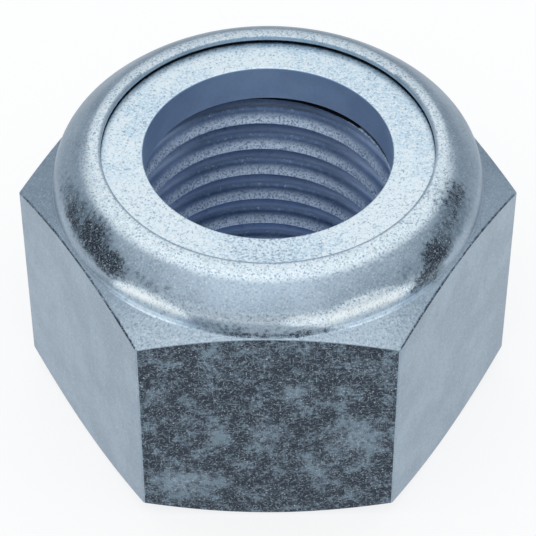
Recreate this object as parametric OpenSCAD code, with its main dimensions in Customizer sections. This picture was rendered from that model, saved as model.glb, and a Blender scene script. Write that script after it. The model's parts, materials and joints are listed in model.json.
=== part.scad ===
// Two-piece all-metal lock nut.
// A hexagon nut carries a domed collar, and the collar's crimped lip holds a plain locking ring over the
// thread. The part stands on its bearing face, with the thread's axis along +Z and a corner on +X.

/* [Thread] */
// Nominal (major) diameter of the thread
thread_d = 20; // [16:0.5:22]
// Rise of the thread in one turn
thread_pitch = 2.5; // [1.5:0.25:3]
// How far the crests stand outside the basic minor radius; the 6H tolerance allows 0.225
crest_margin = 0.22; // [0:0.01:0.22]
// Height at which a groove's centre line crosses the +X side
thread_phase_h = 1.575; // [0:0.025:2.5]
// Mouth diameter of the countersink in the bearing face
countersink_d = 21; // [18:0.25:24]
// Angle of the countersink's cone to the face
countersink_angle = 45; // [30:5:60]

/* [Hexagon] */
// Width across the flats
across_flats = 30; // [27:0.5:36]
// Height of the flats' highest point above the bearing face
shoulder_h = 18; // [14:0.5:24]
// Slope of the chamfers that round the corners off, top and bottom
chamfer_angle = 24.5; // [15:0.5:30]
// How far the bearing face's edge lies inside the flats
bearing_margin = 0.7; // [0.3:0.1:1.5]

/* [Collar] */
// How far the collar's wall stands inside the flats
collar_step = 0.224; // [0.2:0.01:1]
// Thickness of the collar's wall beside the locking ring
collar_wall = 2.226; // [1.6:0.1:3]
// Radius of the hollow fillet at the collar's foot
foot_r = 0.35; // [0.1:0.05:0.35]
// Radius of the dome where it leaves the wall
dome_side_r = 1.6; // [1:0.1:2]
// Radius of the dome's long slope
dome_slope_r = 8.6; // [6:0.2:12]
// Radius of the dome's crown, beside the lip
dome_crown_r = 2.5; // [2:0.1:3.5]
// Steepness, from level, at which the side radius passes into the slope
side_end_angle = 41; // [35:1:45]
// Steepness, from level, at which the slope passes into the crown
crown_start_angle = 52; // [48:1:56]

/* [Lip] */
// How far the crimped lip reaches in over the locking ring's edge
lip_reach = 1.06; // [0.5:0.05:1.5]
// Thickness of the lip at its edge
lip_t = 0.41; // [0.3:0.05:0.8]
// Gap between the lip and the top of the locking ring
lip_gap = 0.18; // [0.05:0.01:0.3]

/* [Locking ring] */
// Height of the locking ring
ring_h = 2.76; // [2:0.1:4]
// How much smaller the ring's bore is than the thread's basic minor diameter
ring_grip = 0.15; // [0:0.05:0.5]
// Chamfer at the ring's outer top edge, where the lip folds over
ring_chamfer = 0.9; // [0.4:0.1:1.2]
// Broken edge at both ends of the ring's bore
ring_edge = 0.08; // [0.05:0.01:0.3]
// Radial clearance between the ring and the wall of its pocket
ring_clearance = 0.05; // [0.02:0.01:0.2]

/* [Ring seat] */
// Height of the ring's seat above the hexagon's shoulder
seat_rise = 0.18; // [0:0.05:0.5]
// How far the relief under the ring stands outside the thread
relief_margin = 0.7; // [0.3:0.1:1]
// Depth of the relief below the ring's seat
relief_depth = 0.28; // [0.1:0.02:0.6]

/* [Hidden] */

// Facets of a full circle
circle_fn = 96;
// Straight stretches in one turn of the thread groove
turn_steps = 48;
// What a cutting shape runs past the surface that it cuts
overrun = 1;

// A metric thread's flanks lean 30 degrees. It is cut to 5/8 of its full triangle's height, with a flat of
// an eighth of the pitch at the root.
thread_depth = 5 / 8 * thread_pitch * sqrt(3) / 2;
thread_r = thread_d / 2;
minor_r = thread_r - thread_depth;
crest_r = minor_r + crest_margin;
flank_slope = tan(30);
root_half = thread_pitch / 8 / 2;
// Half the groove's mouth: just under half a pitch, so that its turns stay apart
mouth_half = 0.49 * thread_pitch;

flat_r = across_flats / 2;
corner_r = flat_r / cos(30);
chamfer_slope = tan(chamfer_angle);
bearing_r = flat_r - bearing_margin;

collar_r = flat_r - collar_step;
pocket_r = collar_r - collar_wall;
ring_r = pocket_r - ring_clearance;
ring_bore_r = minor_r - ring_grip / 2;
lip_r = ring_r - lip_reach;

seat_h = shoulder_h + seat_rise;
relief_h = seat_h - relief_depth;
ring_top_h = seat_h + ring_h;
lip_under_h = ring_top_h + lip_gap;
lip_top_h = lip_under_h + lip_t;

// The dome is three arcs, each tangent to the next. Their steepness is measured at the centre, from level:
// 0 on the wall, then side_end_angle, crown_start_angle and lip_angle at the lip's edge.
side_run = dome_side_r * (1 - cos(side_end_angle));
slope_run = dome_slope_r * (cos(side_end_angle) - cos(crown_start_angle));
crown_run = collar_r - lip_r - side_run - slope_run;
lip_angle = acos(cos(crown_start_angle) - crown_run / dome_crown_r);
crown_centre = [
    lip_r - dome_crown_r * cos(lip_angle),
    lip_top_h - dome_crown_r * sin(lip_angle)
];
slope_centre = crown_centre + (dome_crown_r - dome_slope_r) * direction(crown_start_angle);
side_centre = slope_centre + (dome_slope_r - dome_side_r) * direction(side_end_angle);

function direction(angle) = [cos(angle), sin(angle)];

// The part of a disc between two angles
module sector(r, start, end) {
    reach = 2 * r;
    intersection() {
        circle(r, $fn = circle_fn);
        polygon([[0, 0], reach * direction(start), reach * direction(end)]);
    }
}

// Half section of the chamfered hexagon, before the flats are cut
module hexagon_section() {
    low_corner_h = (corner_r - bearing_r) * chamfer_slope;
    high_corner_h = shoulder_h - (corner_r - flat_r) * chamfer_slope;
    collar_foot_h = shoulder_h + collar_step * chamfer_slope;
    rim = corner_r + overrun;
    polygon([
        [0, 0],
        [bearing_r, 0],
        [rim, low_corner_h + overrun * chamfer_slope],
        [rim, high_corner_h - overrun * chamfer_slope],
        [collar_r, collar_foot_h],
        [0, collar_foot_h]
    ]);
}

// Half section of the hollow fillet between the top chamfer and the collar's wall
module foot_fillet_section() {
    foot_h = shoulder_h + collar_step * chamfer_slope;
    tangent_length = foot_r * tan((90 - chamfer_angle) / 2);
    centre = [collar_r + foot_r, foot_h + tangent_length];
    difference() {
        polygon([
            [collar_r - foot_r, foot_h],
            [collar_r, foot_h],
            [collar_r, foot_h] + tangent_length * direction(-chamfer_angle),
            centre,
            [collar_r, centre[1]],
            [collar_r - foot_r, centre[1]]
        ]);
        translate(centre) circle(foot_r, $fn = circle_fn);
    }
}

// Half section of the collar: the wall, the dome's three arcs and the crimped lip, not yet hollow. It starts
// halfway up inside the hexagon.
module collar_section() {
    root_h = shoulder_h / 2;
    polygon([
        [0, root_h],
        [collar_r, root_h],
        [collar_r, side_centre[1]],
        side_centre,
        crown_centre,
        [0, crown_centre[1]]
    ]);
    translate(side_centre) circle(dome_side_r, $fn = circle_fn);
    translate(slope_centre) sector(dome_slope_r, side_end_angle, crown_start_angle);
    translate(crown_centre) circle(dome_crown_r, $fn = circle_fn);
}

// Half section of all that is hollow: countersink, bore, relief, pocket and the opening inside the lip
module hollow_section() {
    countersink_r = countersink_d / 2;
    countersink_slope = tan(countersink_angle);
    polygon([
        [0, -overrun],
        [countersink_r + overrun / countersink_slope, -overrun],
        [crest_r, (countersink_r - crest_r) * countersink_slope],
        [crest_r, relief_h],
        [thread_r + relief_margin, relief_h],
        [thread_r + relief_margin, seat_h],
        [pocket_r, seat_h],
        [pocket_r, lip_under_h - ring_chamfer],
        [pocket_r - ring_chamfer, lip_under_h],
        [lip_r, lip_under_h],
        [lip_r, lip_top_h + overrun],
        [0, lip_top_h + overrun]
    ]);
}

// One turned groove, swept up the helix. It is a little deeper inwards than the bore's wall, so that it
// opens into the bore, and its turns stay apart.
module thread_groove() {
    mouth_r = thread_r - (mouth_half - root_half) / flank_slope;
    first_turn = floor((-thread_pitch - thread_phase_h) / thread_pitch);
    last_turn = ceil((seat_h + mouth_half - thread_phase_h) / thread_pitch);
    steps = (last_turn - first_turn) * turn_steps;
    section = [
        [mouth_r, -mouth_half],
        [thread_r, -root_half],
        [thread_r, root_half],
        [mouth_r, mouth_half]
    ];
    sides = len(section);
    points = [
        for (i = [0:steps], corner = section)
            let (turns = first_turn + i / turn_steps)
                [
                    corner[0] * cos(360 * turns),
                    corner[0] * sin(360 * turns),
                    corner[1] + thread_phase_h + thread_pitch * turns
                ]
    ];
    skin = [
        for (i = [0:steps - 1], k = [0:sides - 1])
            let (
                here = i * sides,
                next = here + sides,
                after = (k + 1) % sides
            )
                each [
                    [here + k, next + after, next + k],
                    [here + k, here + after, next + after]
                ]
    ];
    start_cap = [for (k = [sides - 1:-1:0]) k];
    end_cap = [for (k = [0:sides - 1]) steps * sides + k];
    polyhedron(points, concat(skin, [start_cap, end_cap]), convexity = 10);
}

// Hexagon, collar, pocket, crimped lip and thread, all in one piece of plated steel
module nut_body() {
    color([0.62, 0.68, 0.74])
        difference() {
            intersection() {
                cylinder(h = lip_top_h + overrun, r = corner_r, $fn = 6);
                rotate_extrude($fn = circle_fn)
                    difference() {
                        union() {
                            hexagon_section();
                            foot_fillet_section();
                            collar_section();
                        }
                        hollow_section();
                    }
            }
            thread_groove();
        }
}

// Plain ring that lies on its seat in the pocket, under the lip
module locking_ring() {
    color([0.82, 0.87, 0.91])
        rotate_extrude($fn = circle_fn)
            polygon([
                [ring_bore_r + ring_edge, seat_h],
                [ring_r, seat_h],
                [ring_r, ring_top_h - ring_chamfer],
                [ring_r - ring_chamfer, ring_top_h],
                [ring_bore_r + ring_edge, ring_top_h],
                [ring_bore_r, ring_top_h - ring_edge],
                [ring_bore_r, seat_h + ring_edge]
            ]);
}

nut_body();
locking_ring();
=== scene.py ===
"""Looks of a two-piece all-metal lock nut: zinc-plated steel on a plain pale studio floor.

The nut's body and its locking ring are made again as closed meshes, with broken edges and rounded thread
crests. Lengths are in millimetres until a mesh, a lamp or the camera is made.
"""

import json
import math

import bpy
import numpy as np
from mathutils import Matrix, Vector


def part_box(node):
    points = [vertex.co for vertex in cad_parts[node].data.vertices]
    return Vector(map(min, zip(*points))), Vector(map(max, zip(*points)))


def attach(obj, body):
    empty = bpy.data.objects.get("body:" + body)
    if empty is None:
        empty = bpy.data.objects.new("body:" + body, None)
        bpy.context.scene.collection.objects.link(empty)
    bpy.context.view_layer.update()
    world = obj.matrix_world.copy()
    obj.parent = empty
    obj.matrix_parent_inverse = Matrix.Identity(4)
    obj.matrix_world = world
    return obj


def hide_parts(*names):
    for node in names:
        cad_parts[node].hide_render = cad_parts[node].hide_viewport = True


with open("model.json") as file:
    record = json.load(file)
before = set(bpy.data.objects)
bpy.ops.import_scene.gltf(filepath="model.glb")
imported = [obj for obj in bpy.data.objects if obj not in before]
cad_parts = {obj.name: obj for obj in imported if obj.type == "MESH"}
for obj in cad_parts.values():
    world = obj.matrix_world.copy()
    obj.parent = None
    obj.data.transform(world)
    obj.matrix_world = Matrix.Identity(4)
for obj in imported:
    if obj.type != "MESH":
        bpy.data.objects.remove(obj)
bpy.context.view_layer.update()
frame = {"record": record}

MM = 0.001


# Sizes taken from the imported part

mounts = {mount["name"]: mount for mount in frame["record"]["mounts"]}
body_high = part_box("nut_body")[1]
ring_low, ring_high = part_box("locking_ring")

FLAT_R = round(body_high[1] / MM, 2)
CORNER_R = FLAT_R / math.cos(math.radians(30))
RING_R = round(ring_high[0] / MM, 2)
SEAT_H = round(ring_low[2] / MM, 2)
RING_TOP_H = round(ring_high[2] / MM, 2)
RING_BORE_R = mounts["ring_bore"]["dims"]["r_mm"]

# Sizes and angles that the part's source holds too

SHOULDER_H = 18.0
CHAMFER_SLOPE = math.tan(math.radians(24.5))
BEARING_R = FLAT_R - 0.7
COUNTERSINK_R = 10.5
COLLAR_R = FLAT_R - 0.224
POCKET_R = RING_R + 0.05
POCKET_CHAMFER = 0.9
FOOT_R = 0.35
LIP_R = RING_R - 1.06
LIP_UNDER_H = RING_TOP_H + 0.18
LIP_TOP_H = LIP_UNDER_H + 0.41
RELIEF_R = 10.7
RELIEF_H = SEAT_H - 0.28
DOME_SIDE_R = 1.6
DOME_SLOPE_R = 8.6
DOME_CROWN_R = 2.5
SIDE_END = 41.0
CROWN_START = 52.0
THREAD_PITCH = 2.5
THREAD_ROOT_R = 10.0
THREAD_PHASE_H = 1.575

# Thread form: each crest is sharp below, at the basic minor radius, and slopes and rounds off above

THREAD_CREST_R = THREAD_ROOT_R - 5 / 8 * THREAD_PITCH * math.sqrt(3) / 2
CREST_SLOPE_H = 0.95
CREST_ROUND = 1.0
CREST_EDGE_ROUND = 0.06
ROOT_ROUND = 0.15
THREAD_ROOT_HALF = THREAD_PITCH / 8 / 2
THREAD_FLANK_SLOPE = math.tan(math.radians(30))
# Height of a crest's lower edge above the middle of the groove under it
CREST_EDGE_AT = THREAD_ROOT_HALF + (THREAD_ROOT_R - THREAD_CREST_R) * THREAD_FLANK_SLOPE
# The uppermost turn is pressed down a little, close under the ring
PRESSED_DOWN = 0.18
PRESSED_DEPTH = 1.0

# How far the edges are broken by tumbling and plating

CORNER_ROUND = 0.22
EDGE_ROUND = 0.12
LIP_ROUND = 0.06
RING_EDGE_ROUND = 0.1
HIDDEN_ROUND = 0.03

# How closely the meshes follow the shapes

# Distance from a rounded edge to the next row of the mesh, which keeps the flats' shading flat
SUPPORT = 0.12
COLUMNS_PER_SIDE = 41
FLAT_ROWS = 22
RING_COLUMNS = 240
FLOOR_COLUMNS = 24
# Degrees from a corner of the hexagon to the columns close beside it, and to the first of the even ones
CORNER_COLUMNS = [0.19, 0.37, 0.75]
EVEN_START = 1.3
# A rounding takes up at most this share of either side, and its support point lies within the next
ROUND_SHARE = 0.45
SUPPORT_SHARE = 0.48
# Steps along the dome's three arcs, from the wall up, and along the roundings that need more than three
DOME_STEPS = [9, 8, 9]
FOOT_STEPS = 5
RING_STEPS = 4
# Rows on a crest's slope, where a pitch of the outline begins, and on the flank above it, as shares of each
SLOPE_ROWS = [0.1, 0.3, 0.5]
FLANK_ROWS = [0.45, 0.6, 0.75]
# A row of the relief's ceiling, outside the thread, and two of the ring's top, either side of the lip's edge
RELIEF_ROW_R = THREAD_ROOT_R + 0.3
GAP_ROWS_R = [LIP_R + 0.02, LIP_R - 0.08]
# Levels at which the pressed turn's heights are worked out
PRESSED_LEVELS = 2000
# Places this close to each other, or to a limit, count as the same
NEAR = 0.01
# An edge's own finish reaches this far from it
EDGE_REACH = 0.05


# Outlines

def direction(angle):
    """Unit vector at an angle in degrees."""
    return np.array([math.cos(math.radians(angle)), math.sin(math.radians(angle))])


def arc(centre, radius, start, end, steps):
    """Points on an arc, both ends included. Angles are in degrees."""
    return [np.asarray(centre) + radius * direction(a) for a in np.linspace(start, end, steps + 1)]


def rounded(corners, rounds, steps=3):
    """An outline through the corners, each rounded off by its own radius.

    A rounded corner has a support point on both sides, and a corner whose radius is 0 stays as it is.
    """
    corners = [np.asarray(c, float) for c in corners]
    points = [corners[0]]
    for before, corner, after, radius in zip(corners, corners[1:], corners[2:], rounds):
        if radius == 0:
            points.append(corner)
            continue
        way_in, way_out = before - corner, after - corner
        length_in, length_out = np.linalg.norm(way_in), np.linalg.norm(way_out)
        way_in, way_out = way_in / length_in, way_out / length_out
        half = math.acos(np.clip(way_in @ way_out, -1, 1)) / 2
        reach = min(radius / math.tan(half), ROUND_SHARE * length_in, ROUND_SHARE * length_out)
        radius = reach * math.tan(half)
        bisector = (way_in + way_out) / np.linalg.norm(way_in + way_out)
        centre = corner + bisector * radius / math.sin(half)
        spokes = corner + way_in * reach - centre, corner + way_out * reach - centre
        turn = math.pi - 2 * half
        points.append(corner + way_in * min(reach + SUPPORT, SUPPORT_SHARE * length_in))
        for share in np.linspace(0, 1, steps + 1):
            spoke = (
                math.sin((1 - share) * turn) * spokes[0] + math.sin(share * turn) * spokes[1]
            ) / math.sin(turn)
            points.append(centre + spoke)
        points.append(corner + way_out * min(reach + SUPPORT, SUPPORT_SHARE * length_out))
    points.append(corners[-1])
    return points


def rim_radius(azimuth):
    """Distance from the axis to the hexagon's side, with the vertical corners rounded. A corner lies at 0."""
    off = math.radians(abs((azimuth + 30) % 60 - 30))
    centre = CORNER_R - CORNER_ROUND / math.sin(math.radians(60))
    tangent = math.atan2(CORNER_ROUND / 2, centre + CORNER_ROUND * math.cos(math.radians(30)))
    if off < tangent:
        return centre * math.cos(off) + math.sqrt(CORNER_ROUND ** 2 - (centre * math.sin(off)) ** 2)
    return FLAT_R / math.cos(math.radians(30) - off)


def column_azimuths():
    """Azimuths of the mesh's columns, in degrees: evenly spread, and closer together at the six corners."""
    even = np.linspace(EVEN_START, 60 - EVEN_START, COLUMNS_PER_SIDE)
    one_side = [0, *CORNER_COLUMNS, *even, *(60 - a for a in reversed(CORNER_COLUMNS))]
    return [60 * side + a for side in range(6) for a in one_side]


def dome_outline():
    """The dome in three arcs, tangent to one another, from its wall to a degree short of the lip's edge."""
    side_run = DOME_SIDE_R * (1 - math.cos(math.radians(SIDE_END)))
    slope_run = DOME_SLOPE_R * (direction(SIDE_END)[0] - direction(CROWN_START)[0])
    crown_run = COLLAR_R - LIP_R - side_run - slope_run
    lip_angle = math.degrees(math.acos(direction(CROWN_START)[0] - crown_run / DOME_CROWN_R))
    crown = np.array([LIP_R, LIP_TOP_H]) - DOME_CROWN_R * direction(lip_angle)
    slope = crown + (DOME_CROWN_R - DOME_SLOPE_R) * direction(CROWN_START)
    side = slope + (DOME_SLOPE_R - DOME_SIDE_R) * direction(SIDE_END)
    return (
        arc(side, DOME_SIDE_R, 0, SIDE_END, DOME_STEPS[0])
        + arc(slope, DOME_SLOPE_R, SIDE_END, CROWN_START, DOME_STEPS[1])[1:]
        + arc(crown, DOME_CROWN_R, CROWN_START, lip_angle - 1, DOME_STEPS[2])[1:]
    )


def body_outline(azimuth):
    """The body's section at one azimuth: from the countersink's mouth, round the outside, to the relief."""
    rim = rim_radius(azimuth)
    low = [rim, (rim - BEARING_R) * CHAMFER_SLOPE]
    high = [rim, SHOULDER_H - (rim - FLAT_R) * CHAMFER_SLOPE]
    shares = np.linspace(0, 1, FLAT_ROWS + 2)[1:-1]
    flat_rows = [[rim, low[1] + (high[1] - low[1]) * share] for share in shares]
    foot = [COLLAR_R, SHOULDER_H + (FLAT_R - COLLAR_R) * CHAMFER_SLOPE]
    dome = dome_outline()
    face = [[COUNTERSINK_R, 0], [COUNTERSINK_R + HIDDEN_ROUND, 0], [BEARING_R, 0]]
    bottom = rounded(face + [low, flat_rows[0]], [0, EDGE_ROUND, EDGE_ROUND])
    top = rounded([flat_rows[-1], high, foot, dome[0]], [EDGE_ROUND, FOOT_R], steps=FOOT_STEPS)
    lip = rounded(
        [
            dome[-1],
            [LIP_R, LIP_TOP_H],
            [LIP_R, LIP_UNDER_H],
            [POCKET_R - POCKET_CHAMFER, LIP_UNDER_H],
            [POCKET_R, LIP_UNDER_H - POCKET_CHAMFER],
            [POCKET_R, SEAT_H],
            [RELIEF_R, SEAT_H],
            [RELIEF_R, RELIEF_H],
            [RELIEF_ROW_R, RELIEF_H],
        ],
        [LIP_ROUND, LIP_ROUND, HIDDEN_ROUND, HIDDEN_ROUND, 0, HIDDEN_ROUND, 0],
    )
    return bottom[:-1] + flat_rows + top[1:-1] + dome + lip[1:]


def thread_outline():
    """One pitch of the thread's section, from a crest's edge to the next one's.

    Each point is a height, measured from a groove's middle, and a radius.
    """
    edge_before = CREST_EDGE_AT - THREAD_PITCH
    flank_top = np.array([edge_before + CREST_SLOPE_H, 0])
    flank_top[1] = THREAD_ROOT_R + (THREAD_ROOT_HALF + flank_top[0]) / THREAD_FLANK_SLOPE
    edge = np.array([edge_before, THREAD_CREST_R])
    root = np.array([-THREAD_ROOT_HALF, THREAD_ROOT_R])
    slope = [edge + share * (flank_top - edge) for share in SLOPE_ROWS]
    flank = [flank_top + share * (root - flank_top) for share in FLANK_ROWS]
    groove = [root, [THREAD_ROOT_HALF, THREAD_ROOT_R], [CREST_EDGE_AT, THREAD_CREST_R]]
    rounds = [0, 0, CREST_ROUND, 0, 0, 0, ROOT_ROUND, ROOT_ROUND, CREST_EDGE_ROUND]
    return rounded([*slope, flank_top, *flank, *groove, slope[0] + [THREAD_PITCH, 0]], rounds)


# Where painted reflections and highlights lie: each entry gives a middle, how far it reaches each way, and
# how strong it is

# Paler blotches in the front flat's painted dark reflection, as x and height in mm
FRONT_BLOTCHES = [
    ((-3.0, 16.3), (2.6, 1.7), 0.35),
    ((1.8, 12.7), (1.9, 1.9), 0.45),
    ((4.0, 12.3), (1.4, 1.4), 0.35),
    ((-0.4, 8.8), (1.5, 2.8), 0.45),
    ((-3.3, 8.5), (1.8, 2.6), 0.4),
    ((3.3, 5.0), (2.2, 2.2), 0.45),
    ((6.0, 8.2), (3.9, 3.4), 0.5),
    ((-5.7, 3.6), (4.2, 3.0), 0.5),
    ((-7.4, 12.1), (2.2, 1.7), 0.3),
    ((7.4, 14.6), (2.4, 2.0), 0.3),
    ((-0.3, 16.9), (1.8, 1.0), 0.3),
    ((-5.2, 10.0), (2.0, 1.4), 0.25),
]
# Painted dark reflections on the dome, its wall and its foot, as azimuth in degrees and height in mm
DOME_PATCHES = [
    ((-165, 20.3), (12, 0.9), 0.5),
    ((-156, 20.3), (12, 1.1), 0.78),
    ((-147, 20.2), (13, 1.3), 1.15),
    ((-138, 19.85), (11, 1.1), 0.85),
    ((-22, 20.75), (13, 1.05), 0.6),
    ((-31, 20.3), (12, 1.2), 0.55),
    ((-38, 19.9), (11, 1.15), 0.85),
    ((-43, 19.1), (9, 1.2), 0.8),
    ((-47, 18.8), (7, 0.7), 0.6),
    ((-49, 20.1), (11, 0.8), 0.26),
    ((-124, 20.1), (9, 0.6), 0.3),
    ((-97, 18.1), (18, 0.42), 0.58),
    ((-83, 18.1), (16, 0.42), 0.54),
    ((-101, 18.6), (13, 0.85), 0.38),
    ((-88, 18.5), (12, 0.7), 0.37),
]
# Painted highlights at the dome's foot, given in the same way
FOOT_HIGHLIGHTS = [
    ((-122, 18.75), (15, 1.25), 2.6),
    ((-133, 18.3), (9, 0.5), 0.35),
    ((-64, 18.95), (19, 1.35), 2.4),
    ((-78, 19.3), (13, 0.7), 1.2),
]

# Each range below runs from where a painted highlight, shade or tint starts to where it is full.

# On the dome, as heights in mm
CROWN_H = (20.9, 21.62)
LIP_BAND_H = (21.38, 21.5)
ARC_ABOVE_H = (20.1, 19.7)
ARC_BELOW_H = (18.9, 19.3)
BLUE_FOOT_H = (18.75, 18.4)
# On the body, as degrees away from the front
CROWN_SIDES = (110, 55)
LIP_BAND_SIDES = (130, 90)
DOME_SIDES = (65, 40)
ARC_SIDES = (60, 35)
CHAMFER_SIDES = (55, 28)
EDGE_LINE_SIDES = (90.5, 87.5)
BLUE_FOOT_INNER = (12, 24)
BLUE_FOOT_OUTER = (52, 38)
BORE_SIDES = (155, 125)
# Where the front flat ends, what is left out on either side of that, and where the painted shade line along
# the lip's edge ends
FRONT_HALF = 30
FRONT_MARGIN = 0.2
LIP_LINE_HALF = 130
# In the thread, as heights in mm above a crest's lower edge
CREST_HIGHLIGHT = (0.75, 0.3)
NAVY_TOP = (1.12, 1.0)
NAVY_DEEP = (0.7, 0.88)
UNDERSIDE = (1.5, 1.6)
# On the ring's top, as degrees away from the front: painted shade in front and painted highlights to either
# side
FRONT_SHADE_SIDES = (32, 2)
BRIGHT_INNER = (15, 38)
BRIGHT_OUTER = (88, 60)
# Across the edge of the painted lip shadow on the ring's top, as radii in mm
LIP_SHADOW_R = (LIP_R - 0.07, LIP_R + 0.01)
# Half the width of the painted dark line along the hexagon's upper edge, and how far in it reaches
EDGE_LINE_HALF = 0.06
EDGE_LINE_REACH = 0.1
# Where the chamfer's painted highlight ends, and where the dome's painted marks start and how far out they
# reach
CHAMFER_END_H = SHOULDER_H + 0.06
DOME_START_H = SHOULDER_H + 0.02
DOME_OUT_R = COLLAR_R + 0.2

# How strong each painted light, shade and tint is. A highlight's pair says how much of it is left at the back
# and how much is in front.

CROWN_GLEAM = (0.12, 1.0)
LIP_BAND_GLEAM = (0.62, 0.8)
DOME_GLEAM = 0.18
ARC_GLEAM = 0.4
CHAMFER_GLEAM = 0.3
EDGE_LINE_DARK = 0.75
CREVICE_DARK = 2.0
BLUE_FOOT_TINT = 0.04
# In the thread's painted light and shade: the bore where no navy lies, navy low and high on a crest's slope
# and on its underside, and what is left of it away from the back
BORE_LEAST = 0.25
SLOPE_NAVY = (0.7, 1.0)
UNDERSIDE_NAVY = 0.6
SIDE_NAVY = 0.5


# Meshes

class Skin:
    """Points and faces of a mesh in the making."""

    def __init__(self):
        self.points = []
        self.faces = []

    def add_point(self, radius, azimuth, height):
        angle = math.radians(azimuth)
        self.points.append((radius * math.cos(angle), radius * math.sin(angle), height))
        return len(self.points) - 1

    def add_face(self, corners):
        """A face whose repeated corners are dropped; nothing if fewer than three are left."""
        kept = [c for i, c in enumerate(corners) if c != corners[i - 1]]
        if len(set(kept)) > 2:
            self.faces.append(kept)

    def join(self, left, right):
        """A strip of faces between two columns of points."""
        for i in range(len(left) - 1):
            self.add_face([left[i], right[i], right[i + 1], left[i + 1]])

    def make(self, name):
        mesh = bpy.data.meshes.new(name)
        mesh.from_pydata([tuple(MM * v for v in point) for point in self.points], [], self.faces)
        mesh.validate()
        mesh.shade_smooth()
        piece = bpy.data.objects.new(name, mesh)
        bpy.context.scene.collection.objects.link(piece)
        return piece


def pressed(height):
    """Where a height in the thread ends up after its uppermost turn is pressed down."""
    share = np.clip((height - (RELIEF_H - PRESSED_DEPTH)) / PRESSED_DEPTH, 0, 1)
    return height - PRESSED_DOWN * share * share * (3 - 2 * share)


def thread_columns(skin, azimuths):
    """The threaded wall from the countersink's mouth up to the relief, one column of points an azimuth.

    Each row follows the helix, so that crests and roots stay sharp. Rows past either end fall together there.
    """
    outline = thread_outline()[:-1]
    rise = np.array([point[0] for point in outline])
    radii = np.array([point[1] for point in outline])
    turns = range(-2, math.ceil(RELIEF_H / THREAD_PITCH) + 1)
    rises = np.concatenate([rise + THREAD_PITCH * turn for turn in turns])
    radii = np.tile(radii, len(turns))
    columns = []
    for azimuth in azimuths:
        heights = pressed(rises + THREAD_PHASE_H + THREAD_PITCH * azimuth / 360)
        inside = (heights > NEAR) & (heights < RELIEF_H - NEAR)
        ends = np.interp([0, RELIEF_H], heights, radii)
        low = skin.add_point(COUNTERSINK_R, azimuth, 0)
        high = skin.add_point(ends[1], azimuth, RELIEF_H)
        column = []
        for height, radius, kept in zip(heights, radii, inside):
            if kept:
                cone = COUNTERSINK_R - height
                column.append(skin.add_point(max(radius, cone), azimuth, height))
            else:
                column.append(low if height < RELIEF_H / 2 else high)
        columns.append(column)
    return columns


def nut_body():
    """The whole body as one closed skin."""
    skin = Skin()
    azimuths = column_azimuths()
    rows_a_turn = len(thread_outline()) - 1
    thread = thread_columns(skin, azimuths)
    outside = []
    for azimuth, wall in zip(azimuths, thread):
        outline = body_outline(azimuth)[1:]
        outside.append([wall[0]] + [skin.add_point(p[0], azimuth, p[1]) for p in outline] + [wall[-1]])
    count = len(azimuths)
    for i in range(count):
        skin.join(outside[i], outside[(i + 1) % count])
    for i in range(count - 1):
        skin.join(thread[i + 1], thread[i])
    # Once round, the helix has risen by one turn's rows
    last, first = thread[-1], thread[0]
    skin.join(first[rows_a_turn:] + [first[-1]] * rows_a_turn, last)
    return skin.make("zinc_plated_nut_body")


def locking_ring():
    """The ring as a closed skin of revolution."""
    skin = Skin()
    outline = rounded(
        [
            [RING_BORE_R, (SEAT_H + RING_TOP_H) / 2],
            [RING_BORE_R, SEAT_H],
            [RING_R, SEAT_H],
            [RING_R, RING_TOP_H - POCKET_CHAMFER],
            [RING_R - POCKET_CHAMFER, RING_TOP_H],
            [GAP_ROWS_R[0], RING_TOP_H],
            [GAP_ROWS_R[1], RING_TOP_H],
            [RING_BORE_R, RING_TOP_H],
            [RING_BORE_R, (SEAT_H + RING_TOP_H) / 2],
        ],
        [HIDDEN_ROUND, HIDDEN_ROUND, HIDDEN_ROUND, HIDDEN_ROUND, 0, 0, RING_EDGE_ROUND],
        steps=RING_STEPS,
    )[:-1]
    azimuths = np.arange(RING_COLUMNS) * 360 / RING_COLUMNS
    columns = []
    for azimuth in azimuths:
        column = [skin.add_point(p[0], azimuth, p[1]) for p in outline]
        columns.append(column + [column[0]])
    for i, column in enumerate(columns):
        skin.join(column, columns[(i + 1) % RING_COLUMNS])
    return skin.make("plated_locking_ring")


# Where the finish changes

def smooth(values, start, end):
    """0 up to start, 1 from end on, and a smooth rise between; start may be above end."""
    share = np.clip((values - start) / (end - start), 0, 1)
    return share * share * (3 - 2 * share)


def between(least, most, share):
    """A strength from its least, at a share of 0, to its most, at 1."""
    return least + (most - least) * share


def blob(azimuth, height, centre, reach):
    """1 at a centre (azimuth in degrees, height in mm), falling to 0 at its reach."""
    away = (azimuth - centre[0] + 180) % 360 - 180
    distance = np.sqrt((away / reach[0]) ** 2 + ((height - centre[1]) / reach[1]) ** 2)
    return smooth(distance, 1, 0.2)


def paint(piece, name, layers):
    """Stores four masks, each with one value a point, as one colour attribute."""
    attribute = piece.data.attributes.new(name, "FLOAT_COLOR", "POINT")
    attribute.data.foreach_set("color", np.stack(layers, axis=1).astype(np.float32).ravel())


def cylindrical(piece):
    """Radius, azimuth in degrees and height in mm of every point of a piece."""
    spots = np.zeros(len(piece.data.vertices) * 3, np.float32)
    piece.data.vertices.foreach_get("co", spots)
    x, y, z = spots.reshape(-1, 3).T / MM
    return np.hypot(x, y), np.degrees(np.arctan2(y, x)), z


def thread_phase(azimuth, height):
    """How far above the middle of the groove under it each point of the thread lies, from 0 to one pitch."""
    level = np.linspace(0, RELIEF_H, PRESSED_LEVELS)
    height = np.interp(height, pressed(level), level)
    return (height - THREAD_PHASE_H - THREAD_PITCH * azimuth / 360) % THREAD_PITCH


def from_front(azimuth):
    """Degrees between each azimuth and the front's, which is -90."""
    return np.abs((azimuth + 90 + 180) % 360 - 180)


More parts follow.
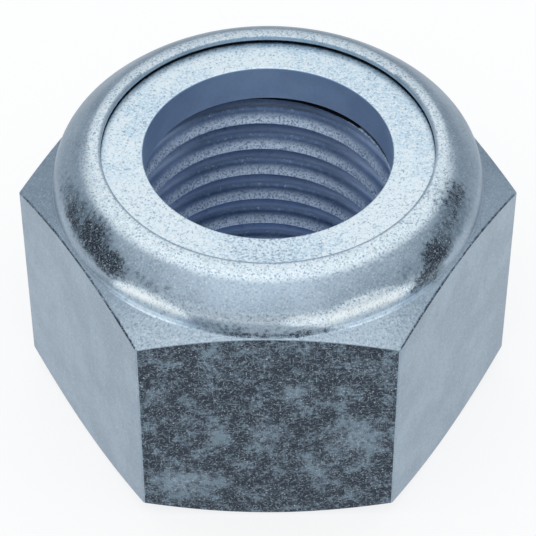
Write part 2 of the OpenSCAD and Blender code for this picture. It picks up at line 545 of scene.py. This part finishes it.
def strongest(mask, where, spots, azimuth, height):
    """A mask raised to the spots' strength where they lie."""
    for centre, reach, strength in spots:
        mask = np.maximum(mask, where * strength * blob(azimuth, height, centre, reach))
    return mask


def paint_body(piece):
    """Masks of the body: painted darkness, painted highlight, bore and thread crest.

    Painted darkness near 2 is the crevice painted black as shade, painted highlight above 1 is whiter, and a
    trace of bore is a blue tint.
    """
    radius, azimuth, height = cylindrical(piece)
    x = radius * np.cos(np.radians(azimuth))
    y = radius * np.sin(np.radians(azimuth))
    rim = np.array([rim_radius(a) for a in azimuth])
    rim_h = SHOULDER_H - (rim - FLAT_R) * CHAMFER_SLOPE
    off_front = from_front(azimuth)

    inside = (radius < POCKET_R + NEAR) & (height > NEAR / 2) & (height < LIP_UNDER_H + NEAR)
    on_cone = inside & (np.abs(radius + height - COUNTERSINK_R) < NEAR)
    inside &= ~on_cone
    threaded = inside & (height < RELIEF_H + NEAR)
    crevice = inside & (radius < RELIEF_R + NEAR) & (height > RELIEF_H - PRESSED_DOWN)
    on_chamfer = (height > rim_h - NEAR) & (height < CHAMFER_END_H) & ~inside
    on_dome = (height > DOME_START_H) & (radius < DOME_OUT_R) & ~inside & ~on_cone
    lip_edge = (radius < LIP_R + EDGE_REACH) & (height > LIP_TOP_H - EDGE_REACH)
    lip_edge &= height < LIP_TOP_H + NEAR
    on_front = (off_front < FRONT_HALF - FRONT_MARGIN) & (height < rim_h - EDGE_REACH)
    on_front &= y < -FLAT_R + 3 * NEAR
    on_edge = (np.abs(height - rim_h) < EDGE_LINE_HALF) & (radius > rim - EDGE_LINE_REACH)
    on_edge &= (height > SHOULDER_H / 2) & (off_front > FRONT_HALF + FRONT_MARGIN)

    # The front flat is painted dark, standing in for a dark reflection, with paler blotches
    painted_darkness = np.where(on_front, 1.0, 0.0)
    for spot, reach, strength in FRONT_BLOTCHES:
        away = np.sqrt(((x - spot[0]) / reach[0]) ** 2 + ((height - spot[1]) / reach[1]) ** 2)
        painted_darkness -= np.where(painted_darkness > 0, strength * smooth(away, 1, 0.1), 0)
    # The dome's dark patches are painted dark reflections
    painted_darkness = strongest(painted_darkness, on_dome, DOME_PATCHES, azimuth, height)
    # A painted dark line along the hexagon's upper edge stands in for the dark reflection of its rounded edge
    painted_darkness = np.where(on_edge, EDGE_LINE_DARK * smooth(off_front, *EDGE_LINE_SIDES), painted_darkness)
    # The crevice under the ring is painted black, as shade
    painted_darkness = np.where(crevice, CREVICE_DARK, painted_darkness)

    # Painted highlights: the crown in front, the wall and the chamfer there, and a narrow band by the lip
    crown = smooth(height, *CROWN_H) * between(*CROWN_GLEAM, smooth(off_front, *CROWN_SIDES))
    lip_band = smooth(height, *LIP_BAND_H) * between(*LIP_BAND_GLEAM, smooth(off_front, *LIP_BAND_SIDES))
    dome_front = DOME_GLEAM * smooth(off_front, *DOME_SIDES)
    arc_front = ARC_GLEAM * smooth(height, *ARC_ABOVE_H) * smooth(height, *ARC_BELOW_H)
    arc_front *= smooth(off_front, *ARC_SIDES)
    painted_highlight = on_dome * np.maximum.reduce([crown, lip_band, dome_front, arc_front])
    painted_highlight = np.maximum(painted_highlight, on_chamfer * CHAMFER_GLEAM * smooth(off_front, *CHAMFER_SIDES))
    painted_highlight = strongest(painted_highlight, on_dome, FOOT_HIGHLIGHTS, azimuth, height)
    # The lip's edge is kept out of the painted highlight in front, which paints a darker line there as shade
    painted_highlight = np.where(lip_edge & (off_front < LIP_LINE_HALF), 0.0, painted_highlight)
    painted_highlight = np.where(inside, 1.0, painted_highlight)

    # The thread's colours paint light and shade: light blue deep in its grooves, lifting their shade, navy
    # along the top of each crest's slope, darkening its highlight, and a weaker navy as painted shade on the
    # crests' undersides. Each crest carries a painted highlight down to its lower edge.
    above_edge = thread_phase(azimuth, height) - CREST_EDGE_AT
    above_edge = np.where(above_edge < -EDGE_REACH, above_edge + THREAD_PITCH, above_edge)
    crest = threaded * smooth(above_edge, *CREST_HIGHLIGHT)
    navy = smooth(above_edge, *NAVY_TOP) * between(*SLOPE_NAVY, smooth(above_edge, *NAVY_DEEP))
    navy = np.maximum(navy, UNDERSIDE_NAVY * smooth(above_edge, *UNDERSIDE))
    navy *= between(1, SIDE_NAVY, smooth(off_front, *BORE_SIDES))
    bore = threaded * between(BORE_LEAST, 1, navy)
    blue_foot = on_dome * smooth(height, *BLUE_FOOT_H)
    blue_foot = blue_foot * smooth(off_front, *BLUE_FOOT_INNER) * smooth(off_front, *BLUE_FOOT_OUTER)
    bore = np.maximum(bore, BLUE_FOOT_TINT * blue_foot)
    paint(piece, "finish", [painted_darkness, painted_highlight, bore, crest])


def paint_ring(piece):
    """Masks of the ring: bore, painted shadow under the lip, painted shade on the front of its top, and
    painted highlights to either side.
    """
    radius, azimuth, height = cylindrical(piece)
    wall = (radius < RING_BORE_R + RING_EDGE_ROUND / 2) & (height < RING_TOP_H - RING_EDGE_ROUND / 4)
    wall |= height < SEAT_H + HIDDEN_ROUND
    lip_shadow = smooth(radius, *LIP_SHADOW_R) * (height > SEAT_H + 2 * HIDDEN_ROUND)
    off_front = from_front(azimuth)
    front_shade = smooth(off_front, *FRONT_SHADE_SIDES)
    bright = smooth(off_front, *BRIGHT_INNER) * smooth(off_front, *BRIGHT_OUTER)
    paint(piece, "finish", [wall.astype(float), lip_shadow, front_shade, bright])


# The studio's sizes and lights

FLOOR_R = 2000
# How bright the floor shines by itself, where 1 is white
FLOOR_GLOW = 0.76

LAMP_AT = (-60, -300, 450)
LAMP_AIM = (0, 0, 10)
LAMP_SIZE = 520
# How bright the lamp's face looks, where 1 is white
LAMP_RADIANCE = 0.42
# Watts that a square metre of an area lamp needs for each unit of that brightness
WATTS_PER_SQUARE_METRE = 4

# The photograph's viewpoint: 45.17 degrees above the floor, in front of a flat
CAMERA_AT = (0, -124.88, 135.14)
CAMERA_TILT = 44.83
CAMERA_LENS = 166.07
CAMERA_SENSOR = 36


# Materials

def linear(hex_colour):
    """A linear colour from an sRGB hex one."""
    channels = [int(hex_colour[i:i + 2], 16) / 255 for i in (1, 3, 5)]
    return [c / 12.92 if c <= 0.04045 else ((c + 0.055) / 1.055) ** 2.4 for c in channels] + [1.0]


def add(tree, kind, settings=None, inputs=None):
    """Adds a node with its settings. An input that is an output socket is linked, and a value is set."""
    made = tree.nodes.new(kind)
    for name, value in (settings or {}).items():
        setattr(made, name, value)
    for name, value in (inputs or {}).items():
        if isinstance(value, bpy.types.NodeSocket):
            tree.links.new(value, made.inputs[name])
        else:
            made.inputs[name].default_value = value
    return made


def new_material(name):
    material = bpy.data.materials.new(name)
    material.use_nodes = True
    material.node_tree.nodes.clear()
    return material, material.node_tree


def grain(tree, place, size_mm, detail, roughness=0.5, draw=1.0, turn=(0, 0, 0)):
    """Noise whose features measure about size_mm, from 0 to 1 with its middle at 0.5.

    They may be drawn out along X, which is then turned about X, Y and Z by angles in degrees.
    """
    laid = add(tree, "ShaderNodeMapping", {"vector_type": "TEXTURE"}, {
        "Vector": place,
        "Rotation": [math.radians(a) for a in turn],
        "Scale": [size_mm * draw * MM, size_mm * MM, size_mm * MM],
    })
    noise = add(tree, "ShaderNodeTexNoise", None, {
        "Vector": laid.outputs["Vector"],
        "Scale": 1.0,
        "Detail": detail,
        "Roughness": roughness,
    })
    return noise.outputs["Fac"]


def ramp(tree, value, low, high, start=0.0, end=1.0):
    """A value's rise from low to high, mapped smoothly to start and end."""
    return add(tree, "ShaderNodeMapRange", {"interpolation_type": "SMOOTHSTEP"}, {
        "Value": value,
        "From Min": low,
        "From Max": high,
        "To Min": start,
        "To Max": end,
    }).outputs["Result"]


def combine(tree, operation, first, second):
    return add(tree, "ShaderNodeMath", {"operation": operation}, {0: first, 1: second}).outputs[0]


def blend(tree, share, under, over):
    """One colour laid over another by a share. Either may be a socket or an sRGB hex colour."""
    under, over = [linear(colour) if isinstance(colour, str) else colour for colour in (under, over)]
    mixed = add(tree, "ShaderNodeMix", {"data_type": "RGBA"}, {"Factor": share, 6: under, 7: over})
    return mixed.outputs[2]


def finish_masks(tree):
    painted = add(tree, "ShaderNodeAttribute", {"attribute_name": "finish"})
    split = add(tree, "ShaderNodeSeparateColor", None, {"Color": painted.outputs["Color"]})
    return [split.outputs[0], split.outputs[1], split.outputs[2], painted.outputs["Alpha"]]


def metal(tree, colour, roughness, bump_height, bump_mm):
    """A bare metal surface with its IOR left at the default."""
    bump = add(tree, "ShaderNodeBump", None, {
        "Strength": 1.0,
        "Distance": bump_mm * MM,
        "Height": bump_height,
    })
    shader = add(tree, "ShaderNodeBsdfPrincipled", None, {
        "Base Color": colour,
        "Metallic": 1.0,
        "Roughness": roughness,
        "Normal": bump.outputs["Normal"],
    })
    add(tree, "ShaderNodeOutputMaterial", None, {"Surface": shader.outputs["BSDF"]})


def blue_passivated_zinc():
    """Zinc electroplate on forged steel, passivated blue.

    The plate is satin and cool grey-blue, with a fine crystalline grain that glints and faint drawing lines
    up the flats. Dark slate, mottled with paler spangle and covered in short fine hairs, is painted where
    dark reflections and shade fall. The crown and the thread's crests carry painted highlights.
    """
    material, tree = new_material("blue_passivated_zinc")
    place = add(tree, "ShaderNodeTexCoord").outputs["Object"]
    painted_darkness, painted_highlight, bore, crest = finish_masks(tree)

    # Crystals of the plate measure about 0.15 mm, flecks of them 0.3 mm, and the clouds of tone 3.2 mm
    crystals = grain(tree, place, 0.15, 2, 0.6)
    flecks = grain(tree, place, 0.3, 4, 0.8)
    clouds = grain(tree, place, 3.2, 4, 0.6)
    # Drawing lines, about 0.5 mm wide and 4.5 mm long, stand upright
    drawn = grain(tree, place, 0.5, 2, 0.5, 9, (0, 90, 0))
    plate = blend(tree, ramp(tree, clouds, 0.35, 0.65), "#93a4b3", "#9fb0bf")
    plate = blend(tree, ramp(tree, drawn, 0.55, 0.75, 0, 0.25), plate, "#8796a5")
    plate = blend(tree, ramp(tree, crystals, 0.52, 0.72, 0, 0.5), plate, "#c6d2dd")
    plate = blend(tree, ramp(tree, crystals, 0.48, 0.28, 0, 0.5), plate, "#718297")

    # Plate under a painted highlight is nearly white, with dark pits that get fainter where it is brightest
    bright = blend(tree, ramp(tree, painted_highlight, 1.0, 1.5), "#e5f3fb", "#f2fcff")
    fainter = ramp(tree, painted_highlight, 1.0, 1.5, 1, 0.5)
    pits = combine(tree, "MULTIPLY", ramp(tree, crystals, 0.48, 0.32, 0, 0.85), fainter)
    bright = blend(tree, pits, bright, "#8da2b8")
    bright = blend(tree, ramp(tree, crystals, 0.52, 0.64, 0, 0.8), bright, "#fcfeff")
    bright = blend(tree, ramp(tree, flecks, 0.44, 0.3, 0, 0.6), bright, "#9aadc0")
    ragged = combine(tree, "ADD", painted_highlight, ramp(tree, flecks, 0.3, 0.7, -0.12, 0.12))
    plate = blend(tree, ramp(tree, ragged, 0.05, 0.85), plate, bright)

    # A trace of the bore's mask tints the dome's foot, and the rest of it paints the thread's light and shade
    plate = blend(tree, ramp(tree, bore, 0, 0.04, 0, 0.45), plate, "#cbe5fa")
    shaded = blend(tree, ramp(tree, clouds, 0.35, 0.65), "#a8c0e2", "#b2c8e8")
    navy = blend(tree, ramp(tree, flecks, 0.35, 0.65), "#495a76", "#566a8a")
    deep = blend(tree, ramp(tree, bore, 0.25, 1), shaded, navy)
    plate = blend(tree, ramp(tree, bore, 0.05, 0.2), plate, deep)
    # Each crest's painted highlight, brightest towards its lower edge
    crest_highlight = blend(tree, ramp(tree, crystals, 0.35, 0.55), "#8ba2be", "#e0edfa")
    plate = blend(tree, crest, plate, crest_highlight)

    # Dark slate, painted where dark reflections and shade fall: blotches of spangle up to 1.5 mm wide, then
    # hairs about 0.1 mm wide and 0.7 mm long, then single bright crystals. It is darker in the dome's
    # patches, which lie on brighter plate under painted highlights.
    mottle = grain(tree, place, 1.5, 7, 0.8)
    slate_paleness = combine(tree, "SUBTRACT", ramp(tree, mottle, 0.36, 0.66, -0.15, 1.15), painted_darkness)
    slate_paleness = combine(tree, "ADD", slate_paleness, ramp(tree, flecks, 0.3, 0.7, -0.25, 0.25))
    slate_paleness = combine(tree, "SUBTRACT", slate_paleness, ramp(tree, painted_highlight, 0, 0.2, 0, 0.4))
    slate = blend(tree, ramp(tree, slate_paleness, -0.65, 0.25), "#373f4a", "#758795")
    slate = blend(tree, ramp(tree, flecks, 0.5, 0.36, 0, 0.75), slate, "#2b313b")
    for turn in (8, 47, 85, 124, 160):
        hairs = grain(tree, place, 0.1, 1, 0.5, 7, (0, turn, 0))
        slate = blend(tree, ramp(tree, hairs, 0.61, 0.71, 0, 0.6), slate, "#8798a5")
    slate = blend(tree, ramp(tree, crystals, 0.6, 0.72, 0, 0.95), slate, "#bccad4")
    # At the crevice's level the painted darkness is near black, as painted shade
    slate = blend(tree, ramp(tree, painted_darkness, 1.3, 1.8), slate, "#10141b")
    speckled = combine(tree, "ADD", painted_darkness, ramp(tree, flecks, 0.3, 0.7, -0.45, 0.45))
    plate = blend(tree, ramp(tree, speckled, 0.15, 0.6), plate, slate)

    roughness = ramp(tree, crystals, 0.3, 0.7, 0.38, 0.48)
    roughness = combine(tree, "ADD", roughness, ramp(tree, crest, 0, 1, 0, 0.15))
    metal(tree, plate, roughness, crystals, 0.01)
    return material


def bright_zinc():
    """Bright zinc plate on a turned steel ring.

    Its flat top is almost white with a blue tint, finely speckled and marked with short fine strokes. Its
    bore is even and bluer.
    """
    material, tree = new_material("bright_zinc")
    place = add(tree, "ShaderNodeTexCoord").outputs["Object"]
    bore, lip_shadow, front_shade, bright = finish_masks(tree)

    # Crystals of the plate measure about 0.18 mm, flecks of them 0.35 mm, and the clouds of tone 2.5 mm
    crystals = grain(tree, place, 0.18, 2, 0.6)
    flecks = grain(tree, place, 0.35, 5, 0.85)
    clouds = grain(tree, place, 2.5, 4, 0.6)
    plate = blend(tree, ramp(tree, clouds, 0.38, 0.62), "#d0e7f6", "#e8f7ff")
    # Painted shade on the front of the top, and painted highlights to either side
    plate = blend(tree, ramp(tree, front_shade, 0, 1, 0, 0.5), plate, "#c6dced")
    plate = blend(tree, ramp(tree, bright, 0, 1, 0, 0.9), plate, "#e9f6fe")
    plate = blend(tree, ramp(tree, flecks, 0.47, 0.32, 0, 0.7), plate, "#9cb1c6")
    plate = blend(tree, ramp(tree, crystals, 0.44, 0.28, 0, 0.8), plate, "#889bb0")

    # The painted front shade has more dark crystals, and its white ones are fainter
    shade_specks = combine(tree, "MULTIPLY", ramp(tree, crystals, 0.5, 0.36, 0, 0.5), front_shade)
    plate = blend(tree, shade_specks, plate, "#889bb0")
    glint = ramp(tree, crystals, 0.5, 0.62, 0, 0.95)
    glint = combine(tree, "MULTIPLY", glint, ramp(tree, front_shade, 0, 1, 1, 0.75))
    plate = blend(tree, glint, plate, "#f4fbff")

    # Strokes are about 0.09 mm wide and 0.5 mm long, and lie in four directions
    for turn in (20, 75, 130, 165):
        strokes = grain(tree, place, 0.09, 1, 0.5, 6, (0, 0, turn))
        plate = blend(tree, ramp(tree, strokes, 0.7, 0.78, 0, 0.6), plate, "#64768b")
    deep = blend(tree, ramp(tree, clouds, 0.35, 0.65), "#97b0cf", "#a1bad7")
    plate = blend(tree, bore, plate, deep)
    # A painted shadow under the lip's edge
    plate = blend(tree, lip_shadow, plate, "#3b4a5c")

    roughness = ramp(tree, crystals, 0.3, 0.7, 0.28, 0.38)
    roughness = combine(tree, "ADD", roughness, ramp(tree, bore, 0, 1, 0, 0.3))
    metal(tree, plate, roughness, crystals, 0.008)
    return material


def studio_floor_paper():
    """White paper, matt.

    The camera and reflections see it lit by itself, so it stays white there and still takes the shadow.
    """
    material, tree = new_material("studio_floor_paper")
    path = add(tree, "ShaderNodeLightPath")
    seen = combine(tree, "MAXIMUM", path.outputs["Is Camera Ray"], path.outputs["Is Glossy Ray"])
    seen = combine(tree, "MAXIMUM", seen, path.outputs["Is Transmission Ray"])
    paper = add(tree, "ShaderNodeBsdfDiffuse", None, {"Color": linear("#dcdcdc")})
    faint = add(tree, "ShaderNodeBsdfDiffuse", None, {"Color": linear("#898989")})
    glow = add(tree, "ShaderNodeEmission", None, {"Color": linear("#ffffff"), "Strength": FLOOR_GLOW})
    both = add(tree, "ShaderNodeAddShader", None, {0: faint.outputs[0], 1: glow.outputs[0]})
    surface = add(tree, "ShaderNodeMixShader", None, {0: seen, 1: paper.outputs[0], 2: both.outputs[0]})
    add(tree, "ShaderNodeOutputMaterial", None, {"Surface": surface.outputs[0]})
    return material


# Studio

def make_floor():
    skin = Skin()
    azimuths = np.arange(FLOOR_COLUMNS) * 360 / FLOOR_COLUMNS
    skin.add_face([skin.add_point(FLOOR_R, azimuth, 0) for azimuth in azimuths])
    floor = skin.make("studio_floor")
    floor.data.materials.append(studio_floor_paper())


def make_world():
    """An even soft light, a little stronger from above. The camera sees plain white."""
    world = bpy.data.worlds.new("studio_world")
    world.use_nodes = True
    tree = world.node_tree
    tree.nodes.clear()
    path = add(tree, "ShaderNodeLightPath")
    seen = combine(tree, "MAXIMUM", path.outputs["Is Camera Ray"], path.outputs["Is Transmission Ray"])
    heading = add(tree, "ShaderNodeTexCoord").outputs["Generated"]
    height = add(tree, "ShaderNodeSeparateXYZ", None, {0: heading}).outputs["Z"]
    tone = blend(tree, ramp(tree, height, 0.2, 0.75), "#b6bcc3", "#f7fafc")
    light = add(tree, "ShaderNodeBackground", None, {"Color": tone, "Strength": 1.0})
    white = add(tree, "ShaderNodeBackground", None, {"Color": linear("#ffffff"), "Strength": 1.0})
    final = add(tree, "ShaderNodeMixShader", None, {0: seen, 1: light.outputs[0], 2: white.outputs[0]})
    add(tree, "ShaderNodeOutputWorld", None, {"Surface": final.outputs[0]})
    bpy.context.scene.world = world


def make_lamp(name, place, aim, size, radiance):
    """A soft box at a place, aimed at a point. Its power follows from how bright its face looks."""
    lamp = bpy.data.lights.new(name, "AREA")
    lamp.shape = "SQUARE"
    lamp.size = size * MM
    lamp.energy = radiance * WATTS_PER_SQUARE_METRE * (size * MM) ** 2
    holder = bpy.data.objects.new(name, lamp)
    holder.location = Vector(place) * MM
    holder.rotation_euler = (Vector(aim) - Vector(place)).to_track_quat("-Z", "Y").to_euler()
    bpy.context.scene.collection.objects.link(holder)


def make_camera():
    camera = bpy.data.cameras.new("camera")
    camera.lens = CAMERA_LENS
    camera.sensor_width = CAMERA_SENSOR
    camera.clip_end = 5 * FLOOR_R * MM
    holder = bpy.data.objects.new("camera", camera)
    holder.location = Vector(CAMERA_AT) * MM
    holder.rotation_euler = (math.radians(CAMERA_TILT), 0, 0)
    bpy.context.scene.collection.objects.link(holder)
    bpy.context.scene.camera = holder


# The nut

body = nut_body()
paint_body(body)
body.data.materials.append(blue_passivated_zinc())
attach(body, "root")
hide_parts("nut_body")

ring = locking_ring()
paint_ring(ring)
ring.data.materials.append(bright_zinc())
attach(ring, "root")
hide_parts("locking_ring")

# The studio

make_floor()
make_world()
make_lamp("soft_box_front", LAMP_AT, LAMP_AIM, LAMP_SIZE, LAMP_RADIANCE)
make_camera()
bpy.context.scene.view_settings.view_transform = "Standard"
